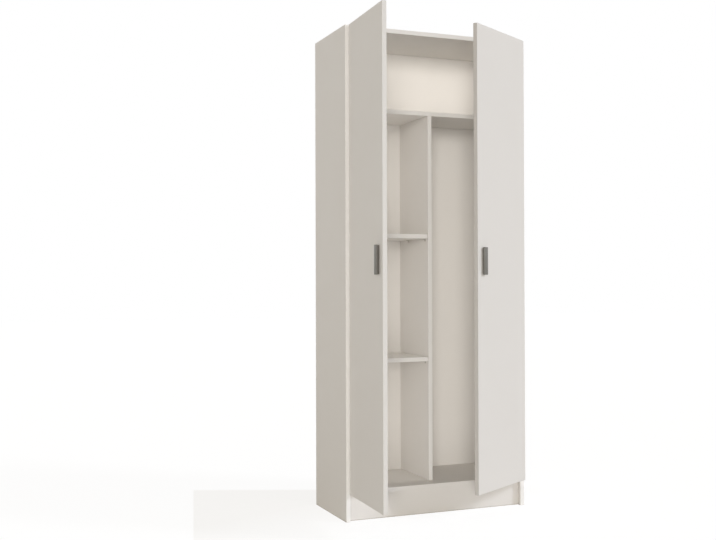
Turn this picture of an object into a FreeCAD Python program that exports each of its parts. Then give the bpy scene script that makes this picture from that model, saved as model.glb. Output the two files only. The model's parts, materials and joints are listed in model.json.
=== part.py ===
import FreeCAD, Part
import math
import os

# Tall two-door utility cupboard of coated chipboard, in millimetres.
# +X is to the right, +Y to the back, +Z up. The origin is on the floor, in the middle of the carcass.
# The doors are modelled where they stand at rest: the left one wide open, the right one a third open.

os.makedirs("parts", exist_ok=True)
V = FreeCAD.Vector

# Carcass
cupboard_height = 1820.0
cupboard_width = 740.0
cupboard_depth = 350.0
board_thickness = 16.0
back_thickness = 3.0
edge_round = 0.6

# Heights and setbacks of the inner boards
plinth_height = 98.0
plinth_setback = 20.0
inner_setback = 70.0
fixed_shelf_height = 1531.0
upper_shelf_height = 1059.0
lower_shelf_height = 587.0
loose_shelf_setback = 2.0
loose_shelf_gap = 1.0
floor_support_length = 240.0
back_side_inset = 2.0
back_top_inset = 2.0
back_foot_overhang = 10.0

# Doors
door_thickness = 16.0
door_side_reveal = 4.0
door_centre_gap = 2.0
door_top_reveal = 0.5
door_foot_height = 101.0
door_back_gap = 2.0
left_door_angle = 92.5
right_door_angle = 33.0

# Handles
handle_length = 101.0
handle_width = 26.0
handle_depth = 12.0
handle_edge_distance = 28.5
handle_middle_height = 952.5
handle_stem_width = 12.0
handle_groove_depth = 6.5
handle_round = 1.2
handle_bolt_spacing = 64.0
handle_bolt_radius = 1.95
handle_bolt_reach = 8.0
handle_bolt_head_radius = 4.0
handle_bolt_head_height = 2.2

# Hinges: places are measured from the side's outer face and the carcass front, with the door shut
hinge_count = 4
hinge_end_distance = 100.0
arm_pivot_in = 31.0
arm_pivot_back = 8.0
cup_pivot_in = 13.0
cup_pivot_front = 5.0
link_turn_ratio = -0.43
cup_edge_distance = 4.0
cup_radius = 17.5
cup_depth = 12.5
cup_wall = 1.3
cup_floor = 1.0
cup_flange_thickness = 1.1
cup_flange_length = 54.0
cup_flange_reach = 16.0
cup_screw_spacing = 45.0
cup_screw_offset = 9.5
cup_pin_radius = 1.0
cup_pin_length = 22.0
arm_pin_radius = 1.5
link_width = 6.0
link_thickness = 1.8
link_arm_eye_radius = 3.0
link_cup_eye_radius = 2.3
link_knee_reach = 9.0
link_knee_dip = 30.0
arm_wall = 1.2
arm_side_play = 0.4
arm_height = 10.4
arm_nose = 3.0
arm_web_start = 14.0
arm_end = 62.0
plate_thickness = 3.0
plate_rail_height = 6.0
plate_rail_width = 14.0
plate_front = 20.0
plate_end = 54.0
plate_wing_length = 52.0
plate_screw_line = 37.0
plate_screw_spacing = 32.0
arm_screw_line = 46.0
arm_screw_radius = 1.9
arm_screw_head_radius = 3.2
arm_screw_head_height = 1.8
arm_screw_end_gap = 1.5

# Wood screws of the hinges and of the wall brackets
screw_radius = 1.9
screw_length = 13.0
screw_head_radius = 3.4
screw_head_height = 1.6

# Door buffers
buffer_radius = 4.0
buffer_thickness = 1.7
buffer_edge_distance = 25.0

# Knock-down fittings
cam_radius = 7.5
cam_depth = 12.5
cam_distance = 34.0
cam_slot_width = 7.2
bolt_thread_radius = 2.9
bolt_thread_length = 11.0
bolt_shank_radius = 3.4
bolt_neck_radius = 1.8
bolt_neck_length = 5.0
bolt_head_radius = 3.0
bolt_head_length = 3.0
cam_slot_end = 1.5
cam_edge_distance = 50.0
dowel_radius = 4.0
dowel_length = 30.0
dowel_side_depth = 11.0
dowel_cam_distance = 32.0
plinth_dowel_spacing = 50.0

# Shelf pins
pin_radius = 2.5
pin_depth = 9.0
pin_tab_length = 9.0
pin_tab_width = 10.0
pin_tab_thickness = 3.0
pin_front_distance = 25.0
pin_back_distance = 89.0

# Back panel nails
nail_radius = 0.7
nail_length = 18.0
nail_head_radius = 1.8
nail_head_height = 0.8
nail_spacing = 150.0
nail_end_distance = 20.0

# Wall brackets
bracket_width = 20.0
bracket_leg = 30.0
bracket_thickness = 2.0
bracket_side_gap = 4.0
bracket_hole_radius = 3.0
bracket_hole_drop = 20.0
bracket_screw_distance = 18.0

# Clearances, and how far a cutting tool runs past the face that it starts from
running_clearance = 0.05
bore_clearance = 0.1
bore_end_gap = 0.5
overcut = 1.0

# Planes that the pieces are set out from
left_face = -cupboard_width / 2
left_inner = left_face + board_thickness
right_inner = -left_inner
front = -cupboard_depth / 2
back = cupboard_depth / 2
back_front = back - back_thickness
inner_front = front + inner_setback
floor_board_top = plinth_height + board_thickness
top_board_foot = cupboard_height - board_thickness
fixed_shelf_foot = fixed_shelf_height - board_thickness
divider_left = -board_thickness / 2
divider_right = board_thickness / 2
door_width = (cupboard_width - 2 * door_side_reveal - door_centre_gap) / 2
door_height = cupboard_height - door_top_reveal - door_foot_height
door_inner_face = front - door_back_gap
door_outer_face = door_inner_face - door_thickness
door_hinge_edge = left_face + door_side_reveal
door_free_edge = door_hinge_edge + door_width
side_joints = (("left_side_panel", left_inner, 1), ("right_side_panel", right_inner, -1))


def box(x0, x1, y0, y1, z0, z1):
    return Part.makeBox(x1 - x0, y1 - y0, z1 - z0, V(x0, y0, z0))


def board(x0, x1, y0, y1, z0, z1):
    """A board with its edges just eased."""
    solid = box(x0, x1, y0, y1, z0, z1)
    thinnest = min(x1 - x0, y1 - y0, z1 - z0)
    return solid.makeFillet(min(edge_round, thinnest / 4), solid.Edges)


def rod(radius, start, end):
    """A round bar between two points."""
    run = end - start
    return Part.makeCylinder(radius, run.Length, start, run)


def joined(shapes):
    whole = shapes[0].multiFuse(shapes[1:])
    return whole.removeSplitter()


def mirrored(shape):
    return shape.mirror(V(0, 0, 0), V(1, 0, 0))


def evenly(first, last, spacing):
    """Places from first to last, no further apart than the spacing."""
    steps = max(1, math.ceil((last - first) / spacing))
    return [first + (last - first) * i / steps for i in range(steps + 1)]


nodes = {}
bores = {}


def bore(node, shape):
    """Keeps a hole for a board until the board is made."""
    bores.setdefault(node, []).append(shape)


def add(node, shapes):
    nodes.setdefault(node, []).extend(shapes)


def finish_board(node, shape):
    if node in bores:
        shape = shape.cut(bores[node])
    nodes[node] = [shape]


# Knock-down fittings between a level board and a side
def cam_fitting(board_node, side_node, joint_x, inward, y, middle_z, cam_side):
    """A steel bolt in the side and a cam lock in the board's hidden face."""
    def along(distance):
        return V(joint_x + inward * distance, y, middle_z)

    shank_end = cam_distance - bolt_neck_length - bolt_head_length
    neck_end = cam_distance - bolt_head_length
    add("cam_bolts", [joined([
        rod(bolt_thread_radius, along(-bolt_thread_length), along(0)),
        rod(bolt_shank_radius, along(0), along(shank_end)),
        rod(bolt_neck_radius, along(shank_end), along(neck_end)),
        rod(bolt_head_radius, along(neck_end), along(cam_distance)),
    ])])
    bore(side_node, rod(bolt_thread_radius + running_clearance,
                        along(-bolt_thread_length - bore_end_gap), along(overcut)))
    bore(board_node, rod(bolt_shank_radius + running_clearance, along(-overcut), along(cam_distance)))

    face = V(joint_x + inward * cam_distance, y, middle_z + cam_side * board_thickness / 2)
    drop = V(0, 0, -cam_side)
    lock = rod(cam_radius, face, face + drop * cam_depth)
    half_slot = cam_slot_width / 2
    near = along(cam_distance - cam_radius - overcut).x
    far = along(cam_distance + cam_slot_end).x
    slot = box(min(near, far), max(near, far), y - half_slot, y + half_slot,
               middle_z - half_slot, middle_z + half_slot)
    add("cam_locks", [lock.cut(slot)])
    bore(board_node, rod(cam_radius + running_clearance, face - drop * overcut,
                         face + drop * (cam_depth + bore_end_gap)))


def dowel(first_node, second_node, joint, direction, first_depth):
    """A wooden dowel that starts first_depth inside the first board and ends in the second."""
    start = joint - direction * first_depth
    end = start + direction * dowel_length
    add("wooden_dowels", [rod(dowel_radius, start, end)])
    wide = dowel_radius + running_clearance
    bore(first_node, rod(wide, start - direction * bore_end_gap, joint + direction * overcut))
    bore(second_node, rod(wide, joint - direction * overcut, end + direction * bore_end_gap))


def level_board_joints(board_node, front_y, middle_z, cam_side):
    """Two cams and two dowels at each end of a level board."""
    cam_rows = [front_y + cam_edge_distance, back_front - cam_edge_distance]
    dowel_rows = [cam_rows[0] + dowel_cam_distance, cam_rows[1] - dowel_cam_distance]
    for side_node, joint_x, inward in side_joints:
        for y in cam_rows:
            cam_fitting(board_node, side_node, joint_x, inward, y, middle_z, cam_side)
        for y in dowel_rows:
            dowel(side_node, board_node, V(joint_x, y, middle_z), V(inward, 0, 0), dowel_side_depth)


def upright_joints(upright_node, level_node, joint_z, into_level, rows):
    """Dowels that stand up between an upright board and a level one."""
    for y in rows:
        dowel(level_node, upright_node, V(0, y, joint_z), V(0, 0, -into_level), dowel_side_depth)


def carcass():
    half_board = board_thickness / 2
    level_board_joints("top_panel", front, cupboard_height - half_board, 1)
    level_board_joints("bottom_panel", front, plinth_height + half_board, -1)
    level_board_joints("fixed_shelf", inner_front, fixed_shelf_height - half_board, 1)

    divider_rows = [inner_front + cam_edge_distance, back_front - cam_edge_distance]
    upright_joints("divider_panel", "fixed_shelf", fixed_shelf_foot, 1, divider_rows)
    upright_joints("divider_panel", "bottom_panel", floor_board_top, -1, divider_rows)
    support_end = floor_support_length / 2
    support_rows = [cam_edge_distance - support_end, support_end - cam_edge_distance]
    upright_joints("floor_support", "bottom_panel", plinth_height, 1, support_rows)

    plinth_front = front + plinth_setback
    plinth_back = plinth_front + board_thickness
    plinth_middle = plinth_front + half_board
    for side_node, joint_x, inward in side_joints:
        for offset in (-plinth_dowel_spacing / 2, plinth_dowel_spacing / 2):
            joint = V(joint_x, plinth_middle, plinth_height / 2 + offset)
            dowel(side_node, "plinth_board", joint, V(inward, 0, 0), dowel_side_depth)

    loose_shelf("upper_small_shelf", upper_shelf_height)
    loose_shelf("lower_small_shelf", lower_shelf_height)
    for x in (left_inner + bracket_side_gap, right_inner - bracket_side_gap - bracket_width):
        wall_bracket(x)
    back_nails()
    side_hinge_bores()

    boards = {
        "left_side_panel": (left_face, left_inner, front, back_front, 0, cupboard_height),
        "right_side_panel": (right_inner, -left_face, front, back_front, 0, cupboard_height),
        "top_panel": (left_inner, right_inner, front, back_front, top_board_foot, cupboard_height),
        "bottom_panel": (left_inner, right_inner, front, back_front, plinth_height, floor_board_top),
        "fixed_shelf": (left_inner, right_inner, inner_front, back_front,
                        fixed_shelf_foot, fixed_shelf_height),
        "divider_panel": (divider_left, divider_right, inner_front, back_front,
                          floor_board_top, fixed_shelf_foot),
        "plinth_board": (left_inner, right_inner, plinth_front, plinth_back, 0, plinth_height),
        "floor_support": (divider_left, divider_right, -support_end, support_end, 0, plinth_height),
    }
    for node, corners in boards.items():
        finish_board(node, board(*corners))
    back_panel = box(left_face + back_side_inset, -left_face - back_side_inset, back_front, back,
                     plinth_height - back_foot_overhang, cupboard_height - back_top_inset)
    finish_board("back_panel", back_panel)


def loose_shelf(node, top):
    """A small shelf in the left column, on four pins."""
    foot = top - board_thickness
    shelf_front = inner_front + loose_shelf_setback
    nodes[node] = [board(left_inner + loose_shelf_gap, divider_left - loose_shelf_gap,
                         shelf_front, back_front - loose_shelf_gap, foot, top)]
    for y in (shelf_front + pin_front_distance, back_front - pin_back_distance):
        shelf_pin("left_side_panel", left_inner, 1, y, foot)
        shelf_pin("divider_panel", divider_left, -1, y, foot)


def shelf_pin(wall_node, wall_x, outward, y, shelf_foot):
    """A pin in its hole, with a flat tab that carries the shelf."""
    wall = V(wall_x, y, shelf_foot - pin_tab_width / 2)
    out = V(outward, 0, 0)
    shaft = rod(pin_radius, wall - out * pin_depth, wall + out * pin_tab_thickness / 2)
    tab_end = wall_x + outward * pin_tab_length
    half_width = pin_tab_width / 2
    tab = box(min(wall_x, tab_end), max(wall_x, tab_end), y - half_width, y + half_width,
              shelf_foot - pin_tab_thickness, shelf_foot)
    cheek_end = wall_x + outward * pin_tab_thickness / 2
    cheek = box(min(wall_x, cheek_end), max(wall_x, cheek_end), y - half_width, y + half_width,
                shelf_foot - pin_tab_width, shelf_foot)
    add("shelf_pins", [joined([shaft, tab, cheek])])
    bore(wall_node, rod(pin_radius + running_clearance, wall - out * (pin_depth + bore_end_gap),
                        wall + out * overcut))


def wood_screw(base, direction):
    """A screw whose head sits at base and whose shank runs along the direction."""
    shank = rod(screw_radius, base, base + direction * screw_length)
    head = rod(screw_head_radius, base - direction * screw_head_height, base)
    return joined([shank, head])


def wood_screw_bore(base, direction):
    """The hole of such a screw, from in front of its base to past its tip."""
    return rod(screw_radius + running_clearance, base - direction * overcut,
               base + direction * (screw_length + bore_end_gap))


def wall_bracket(x0):
    """An angle under the top panel that takes a wall screw through the back."""
    x1 = x0 + bracket_width
    middle_x = (x0 + x1) / 2
    foot = top_board_foot - bracket_thickness
    level_leg = box(x0, x1, back_front - bracket_leg, back_front, foot, top_board_foot)
    upright_leg = box(x0, x1, back_front - bracket_thickness, back_front,
                      top_board_foot - bracket_leg, top_board_foot)
    hole_height = top_board_foot - bracket_hole_drop
    wall_hole = rod(bracket_hole_radius, V(middle_x, back_front - bracket_leg, hole_height),
                    V(middle_x, back + overcut, hole_height))
    base = V(middle_x, back_front - bracket_screw_distance, foot)
    screw_hole = wood_screw_bore(base, V(0, 0, 1))
    add("wall_brackets", [joined([level_leg, upright_leg]).cut([wall_hole, screw_hole])])
    add("wall_bracket_screws", [wood_screw(base, V(0, 0, 1))])
    bore("top_panel", screw_hole)
    bore("back_panel", wall_hole)


def back_nail(x, z, board_node):
    """A flush nail through the back into a board's rear edge."""
    rear = V(x, back, z)
    inward = V(0, -1, 0)
    shank = rod(nail_radius, rear, rear + inward * nail_length)
    head = rod(nail_head_radius, rear, rear + inward * nail_head_height)
    add("back_panel_nails", [joined([shank, head])])
    outside = rear - inward * overcut
    hole = rod(nail_radius + running_clearance, outside, rear + inward * (nail_length + bore_end_gap))
    seat = rod(nail_head_radius + running_clearance, outside, rear + inward * nail_head_height)
    bore("back_panel", hole)
    bore("back_panel", seat)
    bore(board_node, hole)


def back_nails():
    side_middle = board_thickness / 2
    foot = plinth_height + nail_end_distance
    for z in evenly(foot, cupboard_height - back_top_inset - nail_end_distance, nail_spacing):
        back_nail(left_face + side_middle, z, "left_side_panel")
        back_nail(-left_face - side_middle, z, "right_side_panel")
    for x in evenly(left_inner + nail_spacing / 2, right_inner - nail_spacing / 2, nail_spacing):
        back_nail(x, cupboard_height - side_middle, "top_panel")
        back_nail(x, plinth_height + side_middle, "bottom_panel")
        back_nail(x, fixed_shelf_height - side_middle, "fixed_shelf")
    for z in evenly(floor_board_top + nail_spacing, fixed_shelf_foot - nail_spacing, nail_spacing):
        back_nail(0, z, "divider_panel")


# Hinges, set out on the left side with the door shut
arm_pivot = V(left_face + arm_pivot_in, front + arm_pivot_back, 0)
cup_pivot = V(left_face + cup_pivot_in, front - cup_pivot_front, 0)
cup_middle = V(door_hinge_edge + cup_edge_distance + cup_radius, door_inner_face, 0)
first_hinge = door_foot_height + hinge_end_distance
last_hinge = cupboard_height - door_top_reveal - hinge_end_distance
hinge_spacing = (last_hinge - first_hinge) / (hinge_count - 1)
hinge_heights = [first_hinge + hinge_spacing * i for i in range(hinge_count)]
plate_face = left_inner + plate_thickness
rail_face = plate_face + plate_rail_height
arm_face = rail_face + arm_height


def raised(point, z):
    return V(point.x, point.y, z)


def plate_screw_bases(z):
    return [V(plate_face, front + plate_screw_line, z + side * plate_screw_spacing / 2) for side in (-1, 1)]


def cup_screw_bases(z):
    face_y = door_inner_face + cup_flange_thickness
    return [V(cup_middle.x + cup_screw_offset, face_y, z + side * cup_screw_spacing / 2) for side in (-1, 1)]


def side_hinge_bores():
    for z in hinge_heights:
        for base in plate_screw_bases(z):
            hole = wood_screw_bore(base, V(-1, 0, 0))
            bore("left_side_panel", hole)
            bore("right_side_panel", mirrored(hole))


def arm_screw_hole(z):
    y = front + arm_screw_line
    foot_x = left_inner + arm_screw_end_gap - bore_end_gap
    return rod(arm_screw_radius + running_clearance, V(arm_face + overcut, y, z), V(foot_x, y, z))


def hinge_plate(z):
    wing = board(left_inner, plate_face, front + plate_front, front + plate_end,
                 z - plate_wing_length / 2, z + plate_wing_length / 2)
    rail = box(plate_face, rail_face, front + arm_web_start, front + arm_end,
               z - plate_rail_width / 2, z + plate_rail_width / 2)
    heel = box(left_inner, plate_face, front + arm_web_start, front + arm_end,
               z - plate_rail_width / 2, z + plate_rail_width / 2)
    holes = [wood_screw_bore(base, V(-1, 0, 0)) for base in plate_screw_bases(z)]
    return joined([wing, rail, heel]).cut(holes + [arm_screw_hole(z)])


def hinge_arm(z):
    """A steel channel on the plate, with two cheeks that hold the pivot pin."""
    half = link_width / 2 + arm_side_play
    outer = half + arm_wall
    cheeks = [box(rail_face, arm_face, front + arm_nose, front + arm_end, z + low, z + high)
              for low, high in ((-outer, -half), (half, outer))]
    web = box(arm_face - arm_wall, arm_face, front + arm_web_start, front + arm_end, z - outer, z + outer)
    pin_hole = rod(arm_pin_radius + running_clearance, raised(arm_pivot, z - outer - overcut),
                   raised(arm_pivot, z + outer + overcut))
    return joined(cheeks + [web]).cut([pin_hole, arm_screw_hole(z)])


def arm_screw(z):
    head_foot = V(arm_face, front + arm_screw_line, z)
    tip = V(left_inner + arm_screw_end_gap, front + arm_screw_line, z)
    head = rod(arm_screw_head_radius, head_foot, head_foot + V(arm_screw_head_height, 0, 0))
    return joined([rod(arm_screw_radius, tip, head_foot), head])


def arm_pin(z):
    reach = link_width / 2 + arm_side_play + arm_wall
    return rod(arm_pin_radius, raised(arm_pivot, z - reach), raised(arm_pivot, z + reach))


def link_bar(start, end, z):
    """A flat bar with rounded ends between two points of the link."""
    run = end - start
    side = V(-run.y, run.x, 0).normalize() * (link_thickness / 2)
    foot = V(0, 0, z - link_width / 2)
    corners = [start + side + foot, end + side + foot, end - side + foot, start - side + foot]
    outline = Part.makePolygon(corners + corners[:1])
    bar = Part.Face(outline).extrude(V(0, 0, link_width))
    ends = [Part.makeCylinder(link_thickness / 2, link_width, point + foot) for point in (start, end)]
    return joined([bar] + ends)


def hinge_link(z):
    """The bent link between the arm's pin and the cup's pin; it dips into the cup when shut."""
    dip = math.radians(link_knee_dip)
    knee = cup_pivot + V(math.cos(dip), -math.sin(dip), 0) * link_knee_reach
    foot = V(0, 0, z - link_width / 2)
    eyes = [Part.makeCylinder(link_arm_eye_radius, link_width, arm_pivot + foot),
            Part.makeCylinder(link_cup_eye_radius, link_width, cup_pivot + foot)]
    body = joined([link_bar(cup_pivot, knee, z), link_bar(knee, arm_pivot, z)] + eyes)
    low = z - link_width
    high = z + link_width
    holes = [rod(arm_pin_radius + running_clearance, raised(arm_pivot, low), raised(arm_pivot, high)),
             rod(cup_pin_radius + running_clearance, raised(cup_pivot, low), raised(cup_pivot, high))]
    return body.cut(holes)


def cup_pin(z):
    reach = cup_pin_length / 2
    return rod(cup_pin_radius, raised(cup_pivot, z - reach), raised(cup_pivot, z + reach))


def hinge_cup(z):
    """A pressed cup with a flange that lies on the door's inner face."""
    mouth = V(cup_middle.x, door_inner_face + cup_flange_thickness, z)
    inward = V(0, -1, 0)
    shell = rod(cup_radius, mouth, mouth + inward * (cup_depth + cup_flange_thickness))
    hollow = rod(cup_radius - cup_wall, mouth - inward * overcut,
                 mouth + inward * (cup_depth + cup_flange_thickness - cup_floor))
    flange = box(cup_middle.x, cup_middle.x + cup_flange_reach, door_inner_face, mouth.y,
                 z - cup_flange_length / 2, z + cup_flange_length / 2)
    pin_reach = cup_pin_length / 2 + running_clearance
    pin_hole = rod(cup_pin_radius + running_clearance, raised(cup_pivot, z - pin_reach),
                   raised(cup_pivot, z + pin_reach))
    screw_holes = [wood_screw_bore(base, inward) for base in cup_screw_bases(z)]
    return joined([shell, flange]).cut([hollow, pin_hole] + screw_holes)


# Doors, set out on the left side and shut
def door_panel():
    panel = board(door_hinge_edge, door_free_edge, door_outer_face, door_inner_face,
                  door_foot_height, door_foot_height + door_height)
    cuts = []
    for z in hinge_heights:
        mouth = V(cup_middle.x, door_inner_face, z)
        cuts.append(rod(cup_radius + bore_clearance, mouth + V(0, overcut, 0),
                        mouth - V(0, cup_depth + bore_clearance, 0)))
        cuts.extend(wood_screw_bore(base, V(0, -1, 0)) for base in cup_screw_bases(z))
    cuts.extend(handle_bolt_holes())
    return panel.cut(cuts)


def handle_place():
    """The handle's edge towards the free edge, its other edge, and its middle."""
    near = door_free_edge - handle_edge_distance
    far = near - handle_width
    return near, far, (near + far) / 2


def handle_bolt_lines():
    middle_x = handle_place()[2]
    tip_y = door_outer_face - handle_bolt_reach
    for side in (-1, 1):
        z = handle_middle_height + side * handle_bolt_spacing / 2
        yield V(middle_x, door_inner_face, z), V(middle_x, tip_y, z)


def handle_bolt_holes():
    return [rod(handle_bolt_radius + running_clearance, base + V(0, overcut, 0), tip - V(0, bore_end_gap, 0))
            for base, tip in handle_bolt_lines()]


def handle():
    """A straight bar pull: a wide cap on a narrow stem, so that fingers reach behind both long edges."""
    near, far, middle = handle_place()
    foot = handle_middle_height - handle_length / 2
    head = foot + handle_length
    cap_face = door_outer_face - handle_depth
    groove_face = door_outer_face - handle_groove_depth
    cap = box(far, near, cap_face, groove_face, foot, head)
    cap = cap.makeFillet(handle_round, cap.Edges)
    half_stem = handle_stem_width / 2
    stem = box(middle - half_stem, middle + half_stem, groove_face - handle_round, door_outer_face,
               foot + handle_round, head - handle_round)
    return joined([cap, stem]).cut(handle_bolt_holes())


def handle_bolts():
    bolts = []
    for base, tip in handle_bolt_lines():
        head = rod(handle_bolt_head_radius, base, base + V(0, handle_bolt_head_height, 0))
        bolts.append(joined([rod(handle_bolt_radius, tip, base), head]))
    return bolts


def door_buffers():
    """Soft pads that meet the top and bottom panels' front edges."""
    x = door_free_edge - buffer_edge_distance
    heights = ((door_foot_height + floor_board_top) / 2, cupboard_height - board_thickness / 2)
    return [rod(buffer_radius, V(x, door_inner_face, z), V(x, door_inner_face + buffer_thickness, z))
            for z in heights]


def turned(vector, degrees):
    """The vector turned the way the left door opens, which is clockwise from above."""
    angle = math.radians(degrees)
    return V(vector.x * math.cos(angle) + vector.y * math.sin(angle),
             vector.y * math.cos(angle) - vector.x * math.sin(angle), vector.z)


def link_end(angle):
    """Where the cup's pin stands once the door has opened by the angle."""
    return arm_pivot + turned(cup_pivot - arm_pivot, link_turn_ratio * angle)


def opened_link(shape, angle):
    moved = shape.copy()
    moved.rotate(arm_pivot, V(0, 0, -1), link_turn_ratio * angle)
    return moved


def opened_door(shape, angle):
    moved = shape.copy()
    moved.rotate(cup_pivot, V(0, 0, -1), angle)
    moved.translate(link_end(angle) - cup_pivot)
    return moved


def hand(shape, side):
    return mirrored(shape) if side == "right" else shape


def door_set(side, angle):
    """One door with its hinges, links and handle, opened by the angle."""
    def name(words):
        return side + "_" + words

    plate_bases = [base for z in hinge_heights for base in plate_screw_bases(z)]
    cup_bases = [base for z in hinge_heights for base in cup_screw_bases(z)]
    carried = {
        "hinge_plates": [hinge_plate(z) for z in hinge_heights],
        "hinge_plate_screws": [wood_screw(base, V(-1, 0, 0)) for base in plate_bases],
        "hinge_arms": [hinge_arm(z) for z in hinge_heights],
        "hinge_arm_screws": [arm_screw(z) for z in hinge_heights],
        "hinge_arm_pins": [arm_pin(z) for z in hinge_heights],
    }
    linked = {"hinge_links": [hinge_link(z) for z in hinge_heights]}
    hung = {
        "door_panel": [door_panel()],
        "hinge_cups": [hinge_cup(z) for z in hinge_heights],
        "hinge_cup_pins": [cup_pin(z) for z in hinge_heights],
        "hinge_cup_screws": [wood_screw(base, V(0, -1, 0)) for base in cup_bases],
        "handle": [handle()],
        "handle_bolts": handle_bolts(),
        "door_buffers": door_buffers(),
    }
    for words, shapes in carried.items():
        add(name(words), [hand(shape, side) for shape in shapes])
    for words, shapes in linked.items():
        add(name(words), [hand(opened_link(shape, angle), side) for shape in shapes])
    for words, shapes in hung.items():
        add(name(words), [hand(opened_door(shape, angle), side) for shape in shapes])


def report_joints():
    """Prints the pivots at rest, from the origin."""
    for side, sign, angle in (("left", 1, left_door_angle), ("right", -1, right_door_angle)):
        pin = link_end(angle)
        print(side, "arm pivot", round(sign * arm_pivot.x, 3), round(arm_pivot.y, 3),
              "cup pivot", round(sign * pin.x, 3), round(pin.y, 3))


carcass()
door_set("left", left_door_angle)
door_set("right", right_door_angle)
report_joints()

for node, shapes in nodes.items():
    shape = shapes[0] if len(shapes) == 1 else Part.makeCompound(shapes)
    shape.exportStep("parts/" + node + ".step")
print(len(nodes), "nodes,", sum(len(shapes) for shapes in nodes.values()), "solids")
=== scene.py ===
import json
import math
import bpy
from mathutils import Matrix, Vector


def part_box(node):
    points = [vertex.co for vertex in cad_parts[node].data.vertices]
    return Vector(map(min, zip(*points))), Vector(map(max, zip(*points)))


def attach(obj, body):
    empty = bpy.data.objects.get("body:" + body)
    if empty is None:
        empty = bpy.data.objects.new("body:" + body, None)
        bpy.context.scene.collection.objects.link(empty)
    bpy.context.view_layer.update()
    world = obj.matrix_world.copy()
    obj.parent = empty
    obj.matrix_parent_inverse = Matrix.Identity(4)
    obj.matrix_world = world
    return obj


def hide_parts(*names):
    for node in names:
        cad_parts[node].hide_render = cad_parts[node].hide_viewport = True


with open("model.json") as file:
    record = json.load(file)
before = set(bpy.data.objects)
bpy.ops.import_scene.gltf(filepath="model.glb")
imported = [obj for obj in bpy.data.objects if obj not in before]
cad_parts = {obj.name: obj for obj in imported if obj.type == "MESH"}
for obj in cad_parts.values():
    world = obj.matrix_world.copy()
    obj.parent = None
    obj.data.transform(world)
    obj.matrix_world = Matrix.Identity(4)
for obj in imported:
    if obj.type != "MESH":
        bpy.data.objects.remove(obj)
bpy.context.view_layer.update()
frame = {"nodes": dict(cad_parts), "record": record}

# A tall white two-door utility cupboard. Metres, +X to the right, +Y to the back, +Z up.
nodes = frame["nodes"]
record = frame["record"]
MM = 0.001
X_AXIS, Y_AXIS, Z_AXIS = range(3)
DOOR_ANGLES = {"left": math.radians(92.5), "right": math.radians(33)}
SMOOTH_ANGLE = math.radians(35)

# Camera, fitted to the photograph
PHOTO_WIDTH = 716
PHOTO_MIDDLE = 358
SENSOR_WIDTH = 36
FOCAL_PIXELS = 1064.5
VANISHING_X = 413.5
CAMERA_PLACE = Vector((-1.6999, -3.8357, 0.8836))
CAMERA_YAW = math.radians(-23.609)
CAMERA_PITCH = math.radians(0.536)
CAMERA_ROLL = math.radians(-0.191)

# Lamps. A lamp's turn is counted from the front towards the right.
KEY_TURN = math.radians(50)
KEY_HEIGHT = math.radians(30)
KEY_SOFTNESS = math.radians(12)
KEY_STRENGTH = 1.20
FILL_TURN = math.radians(-25)
FILL_HEIGHT = math.radians(6)
FILL_SOFTNESS = math.radians(13)
FILL_STRENGTH = 0.96
SIDE_TURN = math.radians(-98)
SIDE_HEIGHT = math.radians(6)
SIDE_SOFTNESS = math.radians(20)
SIDE_STRENGTH = 0.15
COOL_LIGHT = (0.80, 0.85, 0.96)
WARM_LIGHT = (1.0, 0.97, 0.93)

# Lamps in the open front of the compartments
TOP_GLOW = 0.43
LEFT_GLOW = 0.40
RIGHT_GLOW = 0.22
TOP_GLOW_SPREAD = math.radians(50)
LEFT_GLOW_SPREAD = math.radians(120)
RIGHT_GLOW_SPREAD = math.radians(85)
GLOW_DEPTH = 5 * MM

# Sky
SKY_COLOUR = (1.0, 0.94, 0.84, 1)
SKY_WHITE = (1, 1, 1, 1)
SKY_STRENGTH = 0.38

# The floor shows white, with a pale patch of painted shadow that ends behind and left of the cupboard
FLOOR_SIZE = 40
FLOOR_COLOUR = (0.92, 0.91, 0.89, 1)
FLOOR_WHITE = (1, 1, 1, 1)
# The floor's own paler tone, and also the colour of the painted shadow patch that the camera sees.
FLOOR_PALE_AND_PAINTED_SHADOW = (0.93, 0.92, 0.905, 1)
FLOOR_CLOUD = 0.2
FLOOR_ROUGHNESS = 0.7
FLOOR_SHADOW_SHARE = 0.16
FLOOR_LIFT = 1.085
PATCH_DEPTH = 4.5
PATCH_LEFT_PIXEL = 193
PATCH_FRONT_ACROSS = -0.216
PATCH_FRONT_AWAY = 3.618
PATCH_FRONT_TURN = math.radians(46)
PATCH_FADE = 0.55

# Colours, as the surfaces' own, apart from the painted light and shade noted below
BOARD_WHITE = (0.80, 0.775, 0.74, 1)
BOARD_SHADE = (0.76, 0.73, 0.685, 1)
# A lighter band white for the side panels, shelves and divider: partly the band's own white and partly
# painted light that brightens their front edges.
BAND_WHITE_PAINTED_LIGHT = (0.94, 0.925, 0.90, 1)
# The right door's band is darker than the left's: painted shade, for its edges that face away from the lamps.
DOOR_BANDS_RIGHT_PAINTED_SHADE = {"left": (0.77, 0.75, 0.72, 1), "right": (0.60, 0.575, 0.54, 1)}
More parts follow.
